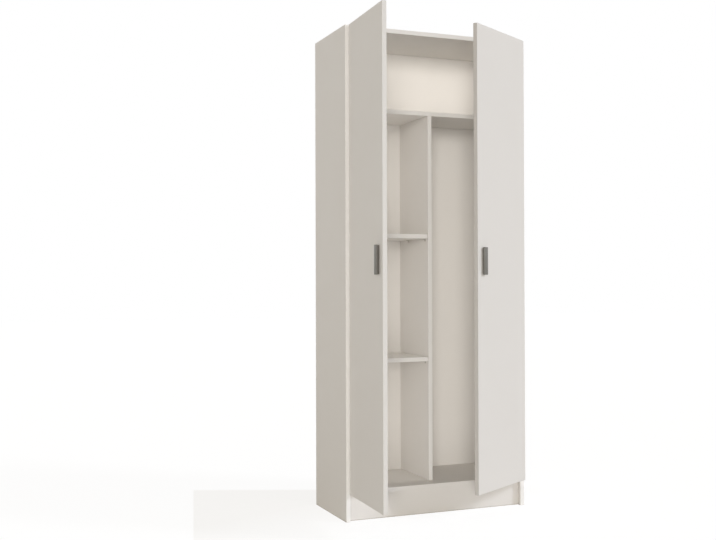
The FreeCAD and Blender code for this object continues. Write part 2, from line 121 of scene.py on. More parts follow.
# Painted shade: a dark line along the foot of the boards that stand on the floor, in place of the contact
# shadow there.
FOOT_PAINTED_SHADE = (0.40, 0.355, 0.30, 1)
BAND_LINE = (0.50, 0.46, 0.41, 1)
CHIP_LIGHT = (0.56, 0.40, 0.24, 1)
CHIP_DARK = (0.25, 0.15, 0.08, 1)
HARDBOARD_WHITE = (0.79, 0.765, 0.73, 1)
HARDBOARD_BROWN = (0.24, 0.135, 0.07, 1)
HARDBOARD_DARK = (0.15, 0.08, 0.04, 1)
HANDLE_GREY = (0.200, 0.191, 0.172, 1)
HANDLE_DARK = (0.150, 0.142, 0.127, 1)
NICKEL = (0.62, 0.60, 0.56, 1)
NICKEL_DARK = (0.42, 0.40, 0.37, 1)
ZINC = (0.64, 0.64, 0.62, 1)
ZINC_DARK = (0.40, 0.40, 0.39, 1)
CASTING = (0.46, 0.46, 0.45, 1)
CASTING_DARK = (0.30, 0.30, 0.29, 1)
BEECH_LIGHT = (0.60, 0.41, 0.24, 1)
BEECH_DARK = (0.44, 0.27, 0.14, 1)
RUBBER = (0.66, 0.65, 0.62, 1)
RUBBER_DARK = (0.55, 0.54, 0.51, 1)


# The camera
def level_axes():
    """The camera's right and forward directions on the floor."""
    right = Vector((math.cos(CAMERA_YAW), math.sin(CAMERA_YAW), 0))
    forward = Vector((-math.sin(CAMERA_YAW), math.cos(CAMERA_YAW), 0))
    return right, forward


def camera():
    """A camera at the photograph's place, with its picture shifted sideways."""
    right, forward = level_axes()
    up = Vector((0, 0, 1))
    tilted_forward = forward * math.cos(CAMERA_PITCH) + up * math.sin(CAMERA_PITCH)
    tilted_up = up * math.cos(CAMERA_PITCH) - forward * math.sin(CAMERA_PITCH)
    rolled_right = right * math.cos(CAMERA_ROLL) + tilted_up * math.sin(CAMERA_ROLL)
    rolled_up = tilted_up * math.cos(CAMERA_ROLL) - right * math.sin(CAMERA_ROLL)
    data = bpy.data.cameras.new("camera")
    data.sensor_width = SENSOR_WIDTH
    data.lens = FOCAL_PIXELS * SENSOR_WIDTH / PHOTO_WIDTH
    data.shift_x = (PHOTO_MIDDLE - VANISHING_X) / PHOTO_WIDTH
    holder = bpy.data.objects.new("camera", data)
    bpy.context.scene.collection.objects.link(holder)
    axes = Matrix((rolled_right, rolled_up, -tilted_forward)).transposed()
    holder.matrix_world = Matrix.Translation(CAMERA_PLACE) @ axes.to_4x4()
    bpy.context.scene.camera = holder


# Shaders
class Signal:
    """A shader socket that does maths with Python's operators."""

    def __init__(self, network, socket):
        self.network = network
        self.socket = socket

    def maths(self, operation, *values):
        return self.network.node("ShaderNodeMath", {"operation": operation}, dict(enumerate(values)))

    def __add__(self, other):
        return self.maths("ADD", self, other)

    def __radd__(self, other):
        return self.maths("ADD", other, self)

    def __sub__(self, other):
        return self.maths("SUBTRACT", self, other)

    def __rsub__(self, other):
        return self.maths("SUBTRACT", other, self)

    def __mul__(self, other):
        return self.maths("MULTIPLY", self, other)

    def __rmul__(self, other):
        return self.maths("MULTIPLY", other, self)

    def __lt__(self, other):
        return self.maths("LESS_THAN", self, other)

    def __gt__(self, other):
        return self.maths("GREATER_THAN", self, other)

    def least(self, other):
        return self.maths("MINIMUM", self, other)

    def most(self, other):
        return self.maths("MAXIMUM", self, other)

    def wave(self):
        return self.maths("SINE", self)

    def between(self, low, high):
        """0 below low, 1 above high, and a straight rise from one to the other."""
        return self.network.node("ShaderNodeMapRange", {"clamp": True}, {
            "Value": self, "From Min": low, "From Max": high, "To Min": 0.0, "To Max": 1.0})

    def marks(self, low, high, strength):
        """Nothing below low, and the strength above high."""
        return self.between(low, high) * strength

    def sibling(self, output):
        """Another output of the same node."""
        return Signal(self.network, self.socket.node.outputs[output])


# The Mix node's sockets for colours
MIX_SHARE = 0
MIX_FIRST = 6
MIX_SECOND = 7
MIX_RESULT = 2


class Network:
    """A node tree, with one method that adds its nodes."""

    def __init__(self, tree):
        self.tree = tree

    def node(self, kind, settings, inputs, output=0):
        """Adds a node, makes its settings, feeds its inputs and gives one of its outputs."""
        made = self.tree.nodes.new(kind)
        for key, value in settings.items():
            setattr(made, key, value)
        for key, value in inputs.items():
            self.feed(made.inputs[key], value)
        return Signal(self, made.outputs[output])

    def feed(self, socket, value):
        if isinstance(value, Signal):
            self.tree.links.new(value.socket, socket)
        else:
            socket.default_value = value

    def shaders_mixed(self, share, first, second):
        return self.node("ShaderNodeMixShader", {}, {0: share, 1: first, 2: second})


class Finish(Network):
    """A material that is being built."""

    def __init__(self, name):
        self.material = bpy.data.materials.new(name)
        self.material.use_nodes = True
        super().__init__(self.material.node_tree)
        self.shader = self.tree.nodes["Principled BSDF"]
        self.coordinates = self.node("ShaderNodeTexCoord", {}, {}, "Object")

    def turned(self, angle):
        """Turns the coordinates about the vertical, for a piece that stands at an angle."""
        self.coordinates = self.node("ShaderNodeMapping", {"vector_type": "POINT"},
                                     {"Vector": self.coordinates, "Rotation": (0, 0, angle)})

    def axes(self):
        x = self.node("ShaderNodeSeparateXYZ", {}, {"Vector": self.coordinates})
        return x, x.sibling(Y_AXIS), x.sibling(Z_AXIS)

    def stretched(self, stretch):
        return self.node("ShaderNodeVectorMath", {"operation": "MULTIPLY"},
                         {0: self.coordinates, 1: stretch})

    def noise(self, scale, detail=3.0, roughness=0.5, stretch=None):
        place = self.stretched(stretch) if stretch else self.coordinates
        return self.node("ShaderNodeTexNoise", {}, {
            "Vector": place, "Scale": scale, "Detail": detail, "Roughness": roughness}, "Fac")

    def cells(self, scale, output="Distance"):
        return self.node("ShaderNodeTexVoronoi", {}, {"Vector": self.coordinates, "Scale": scale}, output)

    def mixed(self, share, first, second):
        """A colour that goes from the first to the second as the share goes from 0 to 1."""
        return self.node("ShaderNodeMix", {"data_type": "RGBA"},
                         {MIX_SHARE: share, MIX_FIRST: first, MIX_SECOND: second}, MIX_RESULT)

    def bump(self, height, distance, strength):
        return self.node("ShaderNodeBump", {},
                         {"Height": height, "Distance": distance, "Strength": strength}, "Normal")

    def done(self, colour, roughness, metallic=0.0, normal=None, ior=None):
        """Feeds the material's shader and gives the material."""
        inputs = {"Base Color": colour, "Roughness": roughness, "Metallic": metallic,
                  "Normal": normal, "IOR": ior}
        for key, value in inputs.items():
            if value is not None:
                self.feed(self.shader.inputs[key], value)
        return self.material


# Finishes. A scale is in repeats a metre, and a bump's distance is the height of its relief.
LACQUER_IOR = 1.45
PEEL_ROUGHNESS = 0.05

# Coated chipboard
BAND_THICKNESS = 0.8 * MM
BAND_JOINT = 0.22 * MM
FACE_DEPTH = 0.05 * MM
RIM_WIDTH = 1.6 * MM
BARE_DEPTH = 0.3 * MM
# A painted shade along the foot of each board that stands on the floor: how high its dark line is, how far it
# fades and sways, and how strong it is.
FOOT_LINE = 1.5 * MM
FOOT_FADE = 3.0 * MM
FOOT_SWAY = 1.2 * MM
FOOT_SHADE_STRENGTH = 0.75
BAND_STRENGTH = 0.9
JOINT_STRENGTH = 0.35
JOINT_SPOTS = 0.4
RIM_STRENGTH = 0.35
PORE_STRENGTH = 0.5
BOARD_ROUGHNESS = 0.50
BARE_ROUGHNESS = 0.45
BOARD_PEEL = 0.6
BOARD_GRIT = 0.4
PORE_RELIEF = 4.0
BOARD_RELIEF = 0.06 * MM
BOARD_BUMP = 0.55


def turned_box(node, turn):
    """A node's lowest and highest corners in axes turned by the angle about the vertical."""
    turning = Matrix.Rotation(turn, 3, "Z")
    points = [turning @ vertex.co for vertex in nodes[node].data.vertices]
    low = Vector([min(point[i] for point in points) for i in range(3)])
    high = Vector([max(point[i] for point in points) for i in range(3)])
    return low, high


def nearest(planes, names):
    """How far a point is from the nearest of the named planes."""
    distance = planes[names[0]]
    for name in names[1:]:
        distance = distance.least(planes[name])
    return distance


def banded_colour(finish, colour, band, faces, grit, band_colour):
    """A board's colour with its edge band, the joint beside the band and the wear on its rim."""
    colour = finish.mixed((band < BAND_THICKNESS) * BAND_STRENGTH, colour, band_colour)
    line = (band > BAND_THICKNESS) * (band < BAND_THICKNESS + BAND_JOINT) * (faces < FACE_DEPTH)
    spots = grit.marks(low=0.45, high=0.7, strength=JOINT_SPOTS)
    colour = finish.mixed(line * (JOINT_STRENGTH + spots), colour, BAND_LINE)
    rim = (1.0 - band.between(0.0, RIM_WIDTH)) * (1.0 - faces.between(0.0, RIM_WIDTH))
    return finish.mixed(rim * grit.between(low=0.55, high=0.75) * RIM_STRENGTH, colour, BAND_LINE)


def chipboard(finish):
    """The colour of uncoated chipboard, and a signal that is low in its pores."""
    chips = finish.cells(420.0, "Color")
    chip_tone = finish.node("ShaderNodeSeparateColor", {}, {"Color": chips}, "Red")
    pores = finish.cells(900.0).between(low=0.1, high=0.5)
    colour = finish.mixed(chip_tone, CHIP_LIGHT, CHIP_DARK)
    colour = finish.mixed((1.0 - pores) * PORE_STRENGTH, colour, CHIP_DARK)
    return colour, pores


def board_finish(node, thin, banded, raw, turn=0.0, band_colour=BOARD_WHITE, soiled_foot=False):
    """Coated chipboard. thin is the axis across it. banded and raw name edge planes: y0 is the lowest y."""
    low, high = turned_box(node, turn)
    finish = Finish(node + "_finish")
    if turn:
        finish.turned(turn)
    planes = {}
    for name, place, least, most in zip("xyz", finish.axes(), low, high):
        planes[name + "0"] = place - least
        planes[name + "1"] = most - place

    cloud = finish.noise(scale=2.3)
    smudge = finish.noise(scale=14.0, detail=4.0, roughness=0.6)
    peel = finish.noise(scale=1400.0, detail=2.0)
    grit = finish.noise(scale=260.0)
    colour = finish.mixed(cloud.marks(low=0.35, high=0.75, strength=0.22), BOARD_WHITE, BOARD_SHADE)
    colour = finish.mixed(smudge.marks(low=0.62, high=0.80, strength=0.10), colour, BOARD_SHADE)
    # Painted shade: darkens the lowest few millimetres, where the board meets the floor.
    if soiled_foot:
        soil = 1.0 - (planes["z0"] + smudge * FOOT_SWAY).between(FOOT_LINE, FOOT_LINE + FOOT_FADE)
        colour = finish.mixed(soil * FOOT_SHADE_STRENGTH, colour, FOOT_PAINTED_SHADE)
    if banded:
        faces = nearest(planes, (thin + "0", thin + "1"))
        colour = banded_colour(finish, colour, nearest(planes, banded), faces, grit, band_colour)

    roughness = BOARD_ROUGHNESS + smudge.marks(low=0.4, high=0.8, strength=0.10) + peel * PEEL_ROUGHNESS
    height = peel * BOARD_PEEL + grit * BOARD_GRIT
    if raw:
        bare = nearest(planes, raw) < BARE_DEPTH
        chip_colour, pores = chipboard(finish)
        colour = finish.mixed(bare, colour, chip_colour)
        roughness = roughness + bare * BARE_ROUGHNESS
        height = height * (1.0 - bare) + bare * pores * PORE_RELIEF
    normal = finish.bump(height, BOARD_RELIEF, BOARD_BUMP)
    return finish.done(colour, roughness, normal=normal, ior=LACQUER_IOR)


# Hardboard
REAR_DEPTH = 1.2 * MM
SCREEN_PITCH = 1.7 * MM
HARDBOARD_ROUGHNESS = 0.46
REAR_ROUGHNESS = 0.4
FRONT_PEEL = 0.5
SCREEN_RELIEF = 1.5
FIBRE_RELIEF = 2.0
HARDBOARD_RELIEF = 0.1 * MM
HARDBOARD_BUMP = 0.6


def hardboard_finish(node):
    """A thin fibreboard: white lacquer in front, bare with a screen's print behind."""
    rear_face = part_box(node)[1].y
    finish = Finish("hardboard_finish")
    x, y, z = finish.axes()
    rear = y > rear_face - REAR_DEPTH
    cloud = finish.noise(scale=2.0)
    peel = finish.noise(scale=1100.0, detail=2.0)
    fibre = finish.noise(scale=300.0, detail=5.0, roughness=0.65)
    blotch = finish.noise(scale=9.0, detail=4.0, roughness=0.6)
    waves = 2 * math.pi / SCREEN_PITCH
    screen = (x * waves).wave() * (z * waves).wave()
    front_colour = finish.mixed(cloud.marks(low=0.35, high=0.75, strength=0.25), HARDBOARD_WHITE, BOARD_SHADE)
    rear_colour = finish.mixed(fibre.between(low=0.35, high=0.7), HARDBOARD_DARK, HARDBOARD_BROWN)
    rear_colour = finish.mixed(blotch.marks(low=0.5, high=0.75, strength=0.35), rear_colour, HARDBOARD_DARK)
    rear_colour = finish.mixed(screen.marks(low=0.0, high=1.0, strength=0.35), rear_colour, HARDBOARD_DARK)
    colour = finish.mixed(rear, front_colour, rear_colour)
    roughness = HARDBOARD_ROUGHNESS + peel * PEEL_ROUGHNESS + rear * REAR_ROUGHNESS
    height = peel * (1.0 - rear) * FRONT_PEEL + rear * (screen * SCREEN_RELIEF + fibre * FIBRE_RELIEF)
    normal = finish.bump(height, HARDBOARD_RELIEF, HARDBOARD_BUMP)
    return finish.done(colour, roughness, normal=normal, ior=LACQUER_IOR)


# Metal, lacquered handles, beech and rubber
SCRATCH_ROUGHNESS = 0.06
SCRATCH_RELIEF = 0.6
GRAIN_RELIEF = 0.4
METAL_RELIEF = 0.05 * MM
METAL_BUMP = 0.5
HANDLE_ROUGHNESS = 0.38
HANDLE_GRAIN_ROUGHNESS = 0.06
HANDLE_GRAIN = 0.7
HANDLE_SPARKLE = 0.3
HANDLE_METALLIC = 0.25
HANDLE_IOR = 1.5
HANDLE_RELIEF = 0.04 * MM
HANDLE_BUMP = 0.5
BEECH_ROUGHNESS = 0.62
FLECK_ROUGHNESS = 0.1
BEECH_RELIEF = 0.1 * MM
BEECH_BUMP = 0.5
RUBBER_ROUGHNESS = 0.34
DUST_ROUGHNESS = 0.16
RUBBER_IOR = 1.48
RUBBER_RELIEF = 0.04 * MM
RUBBER_BUMP = 0.4


def metal_finish(name, colour, dark, roughness, brush=None, pits=0.0):
    """A plated or cast metal with faint scratches, stains and pits."""
    finish = Finish(name)
    stain = finish.noise(scale=55.0, detail=4.0, roughness=0.6)
    scratch = finish.noise(scale=900.0, roughness=0.6, stretch=brush)
    grain = finish.noise(scale=2600.0, detail=2.0)
    tone = finish.mixed(stain.marks(low=0.45, high=0.8, strength=0.45), colour, dark)
    tone = finish.mixed(scratch.marks(low=0.60, high=0.72, strength=0.25), tone, dark)
    rough = roughness + stain.marks(low=0.4, high=0.8, strength=0.14) + scratch * SCRATCH_ROUGHNESS
    height = scratch * SCRATCH_RELIEF + grain * (GRAIN_RELIEF + pits)
    normal = finish.bump(height, METAL_RELIEF, METAL_BUMP)
    return finish.done(tone, rough, 1.0, normal)


def handle_finish():
    """Satin grey lacquer with a fine metallic grain along the bar."""
    finish = Finish("handle_finish")
    cloud = finish.noise(scale=30.0)
    grain = finish.noise(scale=1500.0, roughness=0.6, stretch=(1.0, 1.0, 0.06))
    sparkle = finish.noise(scale=4200.0, detail=1.0)
    smudge = finish.noise(scale=90.0, detail=4.0, roughness=0.6)
    tone = finish.mixed(cloud.marks(low=0.35, high=0.75, strength=0.35), HANDLE_GREY, HANDLE_DARK)
    tone = finish.mixed(grain.marks(low=0.45, high=0.75, strength=0.22), tone, HANDLE_DARK)
    rough = HANDLE_ROUGHNESS + smudge.marks(low=0.4, high=0.8, strength=0.14) + grain * HANDLE_GRAIN_ROUGHNESS
    height = grain * HANDLE_GRAIN + sparkle * HANDLE_SPARKLE
    normal = finish.bump(height, HANDLE_RELIEF, HANDLE_BUMP)
    return finish.done(tone, rough, HANDLE_METALLIC, normal, HANDLE_IOR)


def beech_finish():
    """Plain beech with its grain along X."""
    finish = Finish("beech_finish")
    grain = finish.noise(scale=320.0, detail=5.0, roughness=0.6, stretch=(0.12, 1.0, 1.0))
    fleck = finish.noise(scale=1400.0, detail=2.0, stretch=(0.2, 1.0, 1.0))
    tone = finish.mixed(grain.between(low=0.3, high=0.7), BEECH_LIGHT, BEECH_DARK)
    tone = finish.mixed(fleck.marks(low=0.62, high=0.75, strength=0.5), tone, BEECH_DARK)
    normal = finish.bump(grain, BEECH_RELIEF, BEECH_BUMP)
    return finish.done(tone, BEECH_ROUGHNESS + fleck * FLECK_ROUGHNESS, normal=normal)


def rubber_finish():
    """Pale soft rubber with a little dust."""
    finish = Finish("rubber_finish")
    cloud = finish.noise(scale=120.0)
    dust = finish.noise(scale=900.0, roughness=0.6)
    tone = finish.mixed(cloud.marks(low=0.35, high=0.7, strength=0.6), RUBBER, RUBBER_DARK)
    normal = finish.bump(dust, RUBBER_RELIEF, RUBBER_BUMP)
    return finish.done(tone, RUBBER_ROUGHNESS + dust * DUST_ROUGHNESS, normal=normal, ior=RUBBER_IOR)


# Mesh work. The first two are the least cosines that count as facing or running one way.
FACING_COSINE = 0.95
ALONG_COSINE = 0.99
ROUND_PROFILE = 0.5
OVERCUT = 1 * MM


def start():
    """Leaves edit mode and drops every selection."""
    active = bpy.context.view_layer.objects.active
    if active is not None and active.mode != "OBJECT":
        bpy.ops.object.mode_set(mode="OBJECT")
    bpy.ops.object.select_all(action="DESELECT")


def chosen(piece):
    """Makes a piece the only selected one."""
    start()
    piece.select_set(True)
    bpy.context.view_layer.objects.active = piece


def block(low, high):
    """A box between two corners, with its place in its mesh."""
    start()
    low = Vector(low)
    high = Vector(high)
    bpy.ops.mesh.primitive_cube_add(size=1, location=(low + high) / 2, scale=high - low)
    bpy.ops.object.transform_apply(location=True, rotation=True, scale=True)
    return bpy.context.object


def rod(radius, begin, end, sides=32):
    """A round bar between two points."""
    start()
    begin = Vector(begin)
    end = Vector(end)
    run = end - begin
    turn = run.to_track_quat("Z", "Y").to_euler()
    bpy.ops.mesh.primitive_cylinder_add(
        vertices=sides, radius=radius, depth=run.length, location=(begin + end) / 2, rotation=turn)
    bpy.ops.object.transform_apply(location=True, rotation=True, scale=True)
    return bpy.context.object


def pick(piece, kind, test):
    """Goes into edit mode with the faces or edges that pass the test selected."""
    chosen(piece)
    mesh = piece.data
    for part in (mesh.vertices, mesh.edges, mesh.polygons):
        part.foreach_set("select", [False] * len(part))
    found = mesh.polygons if kind == "faces" else mesh.edges
    for element in found:
        element.select = test(element)
    bpy.context.tool_settings.mesh_select_mode = (False, kind == "edges", kind == "faces")
    bpy.ops.object.mode_set(mode="EDIT")


def settled(piece):
    """Leaves edit mode."""
    bpy.ops.object.mode_set(mode="OBJECT")
    return piece


def facing(direction):
    """A test for faces that look one way."""
    way = Vector(direction)
    return lambda face: face.normal.dot(way) > FACING_COSINE


def along(piece, direction, where=None):
    """A test for edges that run one way, and whose middle passes a second test."""
    way = Vector(direction)
    points = [vertex.co.copy() for vertex in piece.data.vertices]

    def test(edge):
        first, second = (points[i] for i in edge.vertices)
        if abs((second - first).normalized().dot(way)) < ALONG_COSINE:
            return False
        return where is None or where((first + second) / 2)
    return test


def bevelled(offset, segments):
    """Rounds what is selected in edit mode."""
    bpy.ops.mesh.bevel(offset=offset, segments=segments, profile=ROUND_PROFILE, affect="EDGES")


def extruded(move):
    """Draws the selected faces out by a move."""
    bpy.ops.mesh.extrude_region_move(TRANSFORM_OT_translate={"value": move})


def rounded(piece, test, radius, segments):
    """Rounds the edges that pass the test."""
    pick(piece, "edges", test)
    bevelled(radius, segments)
    return settled(piece)


def eased(piece, width, segments=2, angle=50):
    """Rounds a little each edge that is sharper than an angle in degrees."""
    chosen(piece)
    bevel = piece.modifiers.new("ease", "BEVEL")
    bevel.width = width
    bevel.segments = segments
    bevel.limit_method = "ANGLE"
    bevel.angle_limit = math.radians(angle)
    bpy.ops.object.modifier_apply(modifier="ease")
    return piece


def combined(piece, tool, operation):
    """Adds or cuts away another piece, which is used up."""
    chosen(piece)
    work = piece.modifiers.new("work", "BOOLEAN")
    work.object = tool
    work.operation = operation
    work.solver = "EXACT"
    bpy.ops.object.modifier_apply(modifier="work")
    bpy.data.objects.remove(tool)


def united(piece, tool):
    combined(piece, tool, "UNION")


def cut(piece, tool):
    combined(piece, tool, "DIFFERENCE")


def joined(parts):
    """Makes one object of several."""
    start()
    for part in parts:
        part.select_set(True)
    bpy.context.view_layer.objects.active = parts[0]
    if len(parts) > 1:
        bpy.ops.object.join()
    return bpy.context.view_layer.objects.active


RECESS_TAPER = 0.55


def cross_recess(piece, top, reach, width, depth):
    """Cuts a tapered cross into the face at height top, which looks up."""
    for x, y in ((reach, width / 2), (width / 2, reach)):
        tool = block((-x, -y, top - depth), (x, y, top + depth))
        pick(tool, "faces", facing((0, 0, -1)))
        bpy.ops.transform.resize(value=(RECESS_TAPER, RECESS_TAPER, 1))
        cut(piece, settled(tool))


# Small pieces, each made about the origin in the space of its solid
SCREW_HOLE_RADIUS = 1.95 * MM
SCREW_HOLE_SIDES = 24

# Screws and bolts. The first five are shares of the head's height, the head's radius or the shank's.
DOME_SHARE = 0.45
CROSS_REACH_SHARE = 0.55
CROSS_WIDTH_SHARE = 0.24
CROSS_DEPTH_SHARE = 0.75
TIP_SHARE = 0.4
SCREW_SHANK = 1.9 * MM
WOOD_SCREW_HEAD = 1.6 * MM
ARM_SCREW_HEAD = 1.8 * MM
BOLT_SHANK = 1.95 * MM
BOLT_HEAD = 2.2 * MM


def screw_shape(length, head_radius, head_height, shank_radius):
    """A screw with a domed head on top and a tapered end."""
    top = length / 2
    head = rod(head_radius, (0, 0, top - head_height), (0, 0, top), sides=36)
    pick(head, "faces", facing((0, 0, 1)))
    bevelled(head_height * DOME_SHARE, segments=4)
    settled(head)
    cross_recess(head, top, head_radius * CROSS_REACH_SHARE, head_radius * CROSS_WIDTH_SHARE,
                 head_height * CROSS_DEPTH_SHARE)
    shank = rod(shank_radius, (0, 0, -top), (0, 0, top - head_height), sides=16)
    pick(shank, "faces", facing((0, 0, -1)))
    extruded((0, 0, 0))
    bpy.ops.transform.resize(value=(TIP_SHARE, TIP_SHARE, 1))
    return joined([head, settled(shank)])


def screw_maker(axis, head_side, shank_radius, head_height):
    """A maker for screws that run along one axis, with the head on that side."""
    def make(size):
        screw = screw_shape(size[axis], min(size) / 2, head_height, shank_radius)
        way = Vector((0, 0, 0))
        way[axis] = head_side
        screw.data.transform(Vector((0, 0, 1)).rotation_difference(way).to_matrix().to_4x4())
        return screw
    return make


HANDLE_CAP = 4.6 * MM
HANDLE_STEM = 12.0 * MM
HANDLE_STEM_INSET = 1.2 * MM
HANDLE_EASE = 1.2 * MM
# From the cap to the stem: how far each step runs, its width, and how far its ends draw in
HANDLE_STEPS = (
    (0.9 * MM, 23.0 * MM, 0.5 * MM),
    (1.0 * MM, 17.5 * MM, 0.9 * MM),
    (1.5 * MM, HANDLE_STEM + 1.2 * MM, HANDLE_STEM_INSET),
)


def handle_shape(size):
    """A bar pull: a face with rounded edges, whose sides curve in to a narrow stem on the door."""
    half = size / 2
    piece = block(-half, (half.x, -half.y + HANDLE_CAP, half.z))
    rest = size.y - HANDLE_CAP - sum(step[0] for step in HANDLE_STEPS)
    pick(piece, "faces", facing((0, 1, 0)))
    width = size.x
    height = size.z
    for run, new_width, inset in (*HANDLE_STEPS, (rest, HANDLE_STEM, HANDLE_STEM_INSET)):
        new_height = size.z - 2 * inset
        extruded((0, run, 0))
        bpy.ops.transform.resize(value=(new_width / width, 1, new_height / height))
        width = new_width
        height = new_height
    settled(piece)
    return eased(piece, HANDLE_EASE, segments=4, angle=40)


CUP_WALL = 1.3 * MM
CUP_FLOOR = 1.0 * MM
CUP_FLOOR_ROUND = 1.4 * MM
CUP_FLANGE = 1.1 * MM
CUP_FLANGE_REACH = 16.0 * MM
CUP_WING_CORNER = 6.0 * MM
CUP_ROOT_CORNER = 3.0 * MM
CUP_ROOT_SLACK = 0.1 * MM
CUP_SEAT_RADIUS = 4.4 * MM
CUP_SEAT_RISE = 0.25 * MM
CUP_SCREW_X = 9.5 * MM
CUP_SCREW_Z = 22.5 * MM
CUP_SIDES = 72
CUP_EASE = 0.25 * MM


def cup_shape(size):
    """A pressed hinge cup with a winged flange and raised screw seats."""
    half = size / 2
    under = half.y - CUP_FLANGE
    over = half.y + OVERCUT
    cup = rod(half.x, (0, -half.y, 0), (0, half.y, 0), CUP_SIDES)
    rounded(cup, lambda edge: all(cup.data.vertices[i].co.y < 0 for i in edge.vertices), CUP_FLOOR_ROUND, 3)
    wing = block((0, under, -half.z), (CUP_FLANGE_REACH, half.y - CUP_SEAT_RISE, half.z))
    rounded(wing, along(wing, (0, 1, 0), lambda middle: middle.x > 0), CUP_WING_CORNER, 5)
    rounded(wing, along(wing, (0, 1, 0), lambda middle: abs(middle.x) < CUP_ROOT_SLACK), CUP_ROOT_CORNER, 4)
    united(cup, wing)
    for z in (-CUP_SCREW_Z, CUP_SCREW_Z):
        united(cup, rod(CUP_SEAT_RADIUS, (CUP_SCREW_X, under, z), (CUP_SCREW_X, half.y, z)))
        cut(cup, rod(SCREW_HOLE_RADIUS, (CUP_SCREW_X, -half.y, z), (CUP_SCREW_X, over, z), SCREW_HOLE_SIDES))
    cut(cup, rod(half.x - CUP_WALL, (0, -half.y + CUP_FLOOR, 0), (0, over, 0), CUP_SIDES))
    return eased(cup, CUP_EASE)


ARM_WALL = 1.2 * MM
ARM_BACK_ROUND = 1.7 * MM
ARM_OPEN_NOSE = 11.0 * MM
ARM_SLOT_FROM_NOSE = 43.0 * MM
ARM_SLOT_HALF_LENGTH = 5 * MM
ARM_SLOT_HALF_WIDTH = 2.1 * MM
ARM_SLOT_CORNER = 2.0 * MM
ARM_DENT_DEPTH = 0.4 * MM
ARM_DENT_HALF_WIDTH = 1.6 * MM
ARM_DENT_CORNER = 1.5 * MM
ARM_DENT_FROM_NOSE = 6 * MM
ARM_DENT_BEFORE_SLOT = 10 * MM
ARM_EASE = 0.2 * MM


def arm_shape(size):
    """A pressed steel arm: a channel with a rounded back, open at the nose, with a long slot and a dent."""
    half = size / 2
    inner = half.z - ARM_WALL
    outside = (-half.x - OVERCUT, -half.y - OVERCUT, -inner)
    over = half.x + OVERCUT
    nose = -half.y + ARM_OPEN_NOSE
    slot = -half.y + ARM_SLOT_FROM_NOSE
    arm = block(-half, half)
    rounded(arm, along(arm, (0, 1, 0), lambda middle: middle.x > 0), ARM_BACK_ROUND, 4)
    cut(arm, block(outside, (half.x - ARM_WALL, half.y + OVERCUT, inner)))
    cut(arm, block(outside, (over, nose, inner)))
    opening = block((half.x - 2 * ARM_WALL, slot - ARM_SLOT_HALF_LENGTH, -ARM_SLOT_HALF_WIDTH),
                    (over, slot + ARM_SLOT_HALF_LENGTH, ARM_SLOT_HALF_WIDTH))
    cut(arm, rounded(opening, along(opening, (1, 0, 0)), ARM_SLOT_CORNER, 4))
    dent = block((half.x - ARM_DENT_DEPTH, nose + ARM_DENT_FROM_NOSE, -ARM_DENT_HALF_WIDTH),
                 (over, slot - ARM_DENT_BEFORE_SLOT, ARM_DENT_HALF_WIDTH))
    cut(arm, rounded(dent, along(dent, (1, 0, 0)), ARM_DENT_CORNER, 4))
    return eased(arm, ARM_EASE)


PLATE_THICKNESS = 3.0 * MM
PLATE_WING_START = 6.0 * MM
PLATE_WING_WIDTH = 34.0 * MM
PLATE_WING_CORNER = 7.0 * MM
PLATE_RAIL_WIDTH = 14.0 * MM
PLATE_RAIL_CORNER = 2.0 * MM
PLATE_SCREW_Y = 23.0 * MM
PLATE_SCREW_Z = 16.0 * MM
PLATE_EASE = 0.5 * MM


def plate_shape(size):
    """A winged mounting plate with a raised rail for the arm."""
    half = size / 2
    wing_front = -half.y + PLATE_WING_START
    wing_face = -half.x + PLATE_THICKNESS
    plate = block((-half.x, wing_front, -half.z), (wing_face, wing_front + PLATE_WING_WIDTH, half.z))
    rounded(plate, along(plate, (1, 0, 0)), PLATE_WING_CORNER, 6)
    rail_half = PLATE_RAIL_WIDTH / 2
    rail = block((-half.x, -half.y, -rail_half), (half.x, half.y, rail_half))
    united(plate, rounded(rail, along(rail, (1, 0, 0)), PLATE_RAIL_CORNER, 4))
    y = -half.y + PLATE_SCREW_Y
    for z in (-PLATE_SCREW_Z, PLATE_SCREW_Z):
        cut(plate, rod(SCREW_HOLE_RADIUS, (-half.x - OVERCUT, y, z), (half.x, y, z), SCREW_HOLE_SIDES))
    return eased(plate, PLATE_EASE, segments=3)


CAM_RIM = 0.9 * MM
CAM_RIM_SLOPE = 0.35 * MM
CAM_RIM_HEIGHT = 0.5 * MM
CAM_CROSS_REACH = 4.2 * MM
CAM_CROSS_WIDTH = 1.7 * MM
CAM_CROSS_DEPTH = 2.4 * MM
CAM_POINTER_START = 4.9 * MM
CAM_POINTER_END = 6.0 * MM
CAM_POINTER_HALF_WIDTH = 0.5 * MM
CAM_POINTER_DEPTH = 1.0 * MM
CAM_MOUTH_DROP = 8.0 * MM
CAM_MOUTH_HALF = 3.6 * MM
CAM_MOUTH_END = 1.5 * MM
CAM_EASE = 0.18 * MM


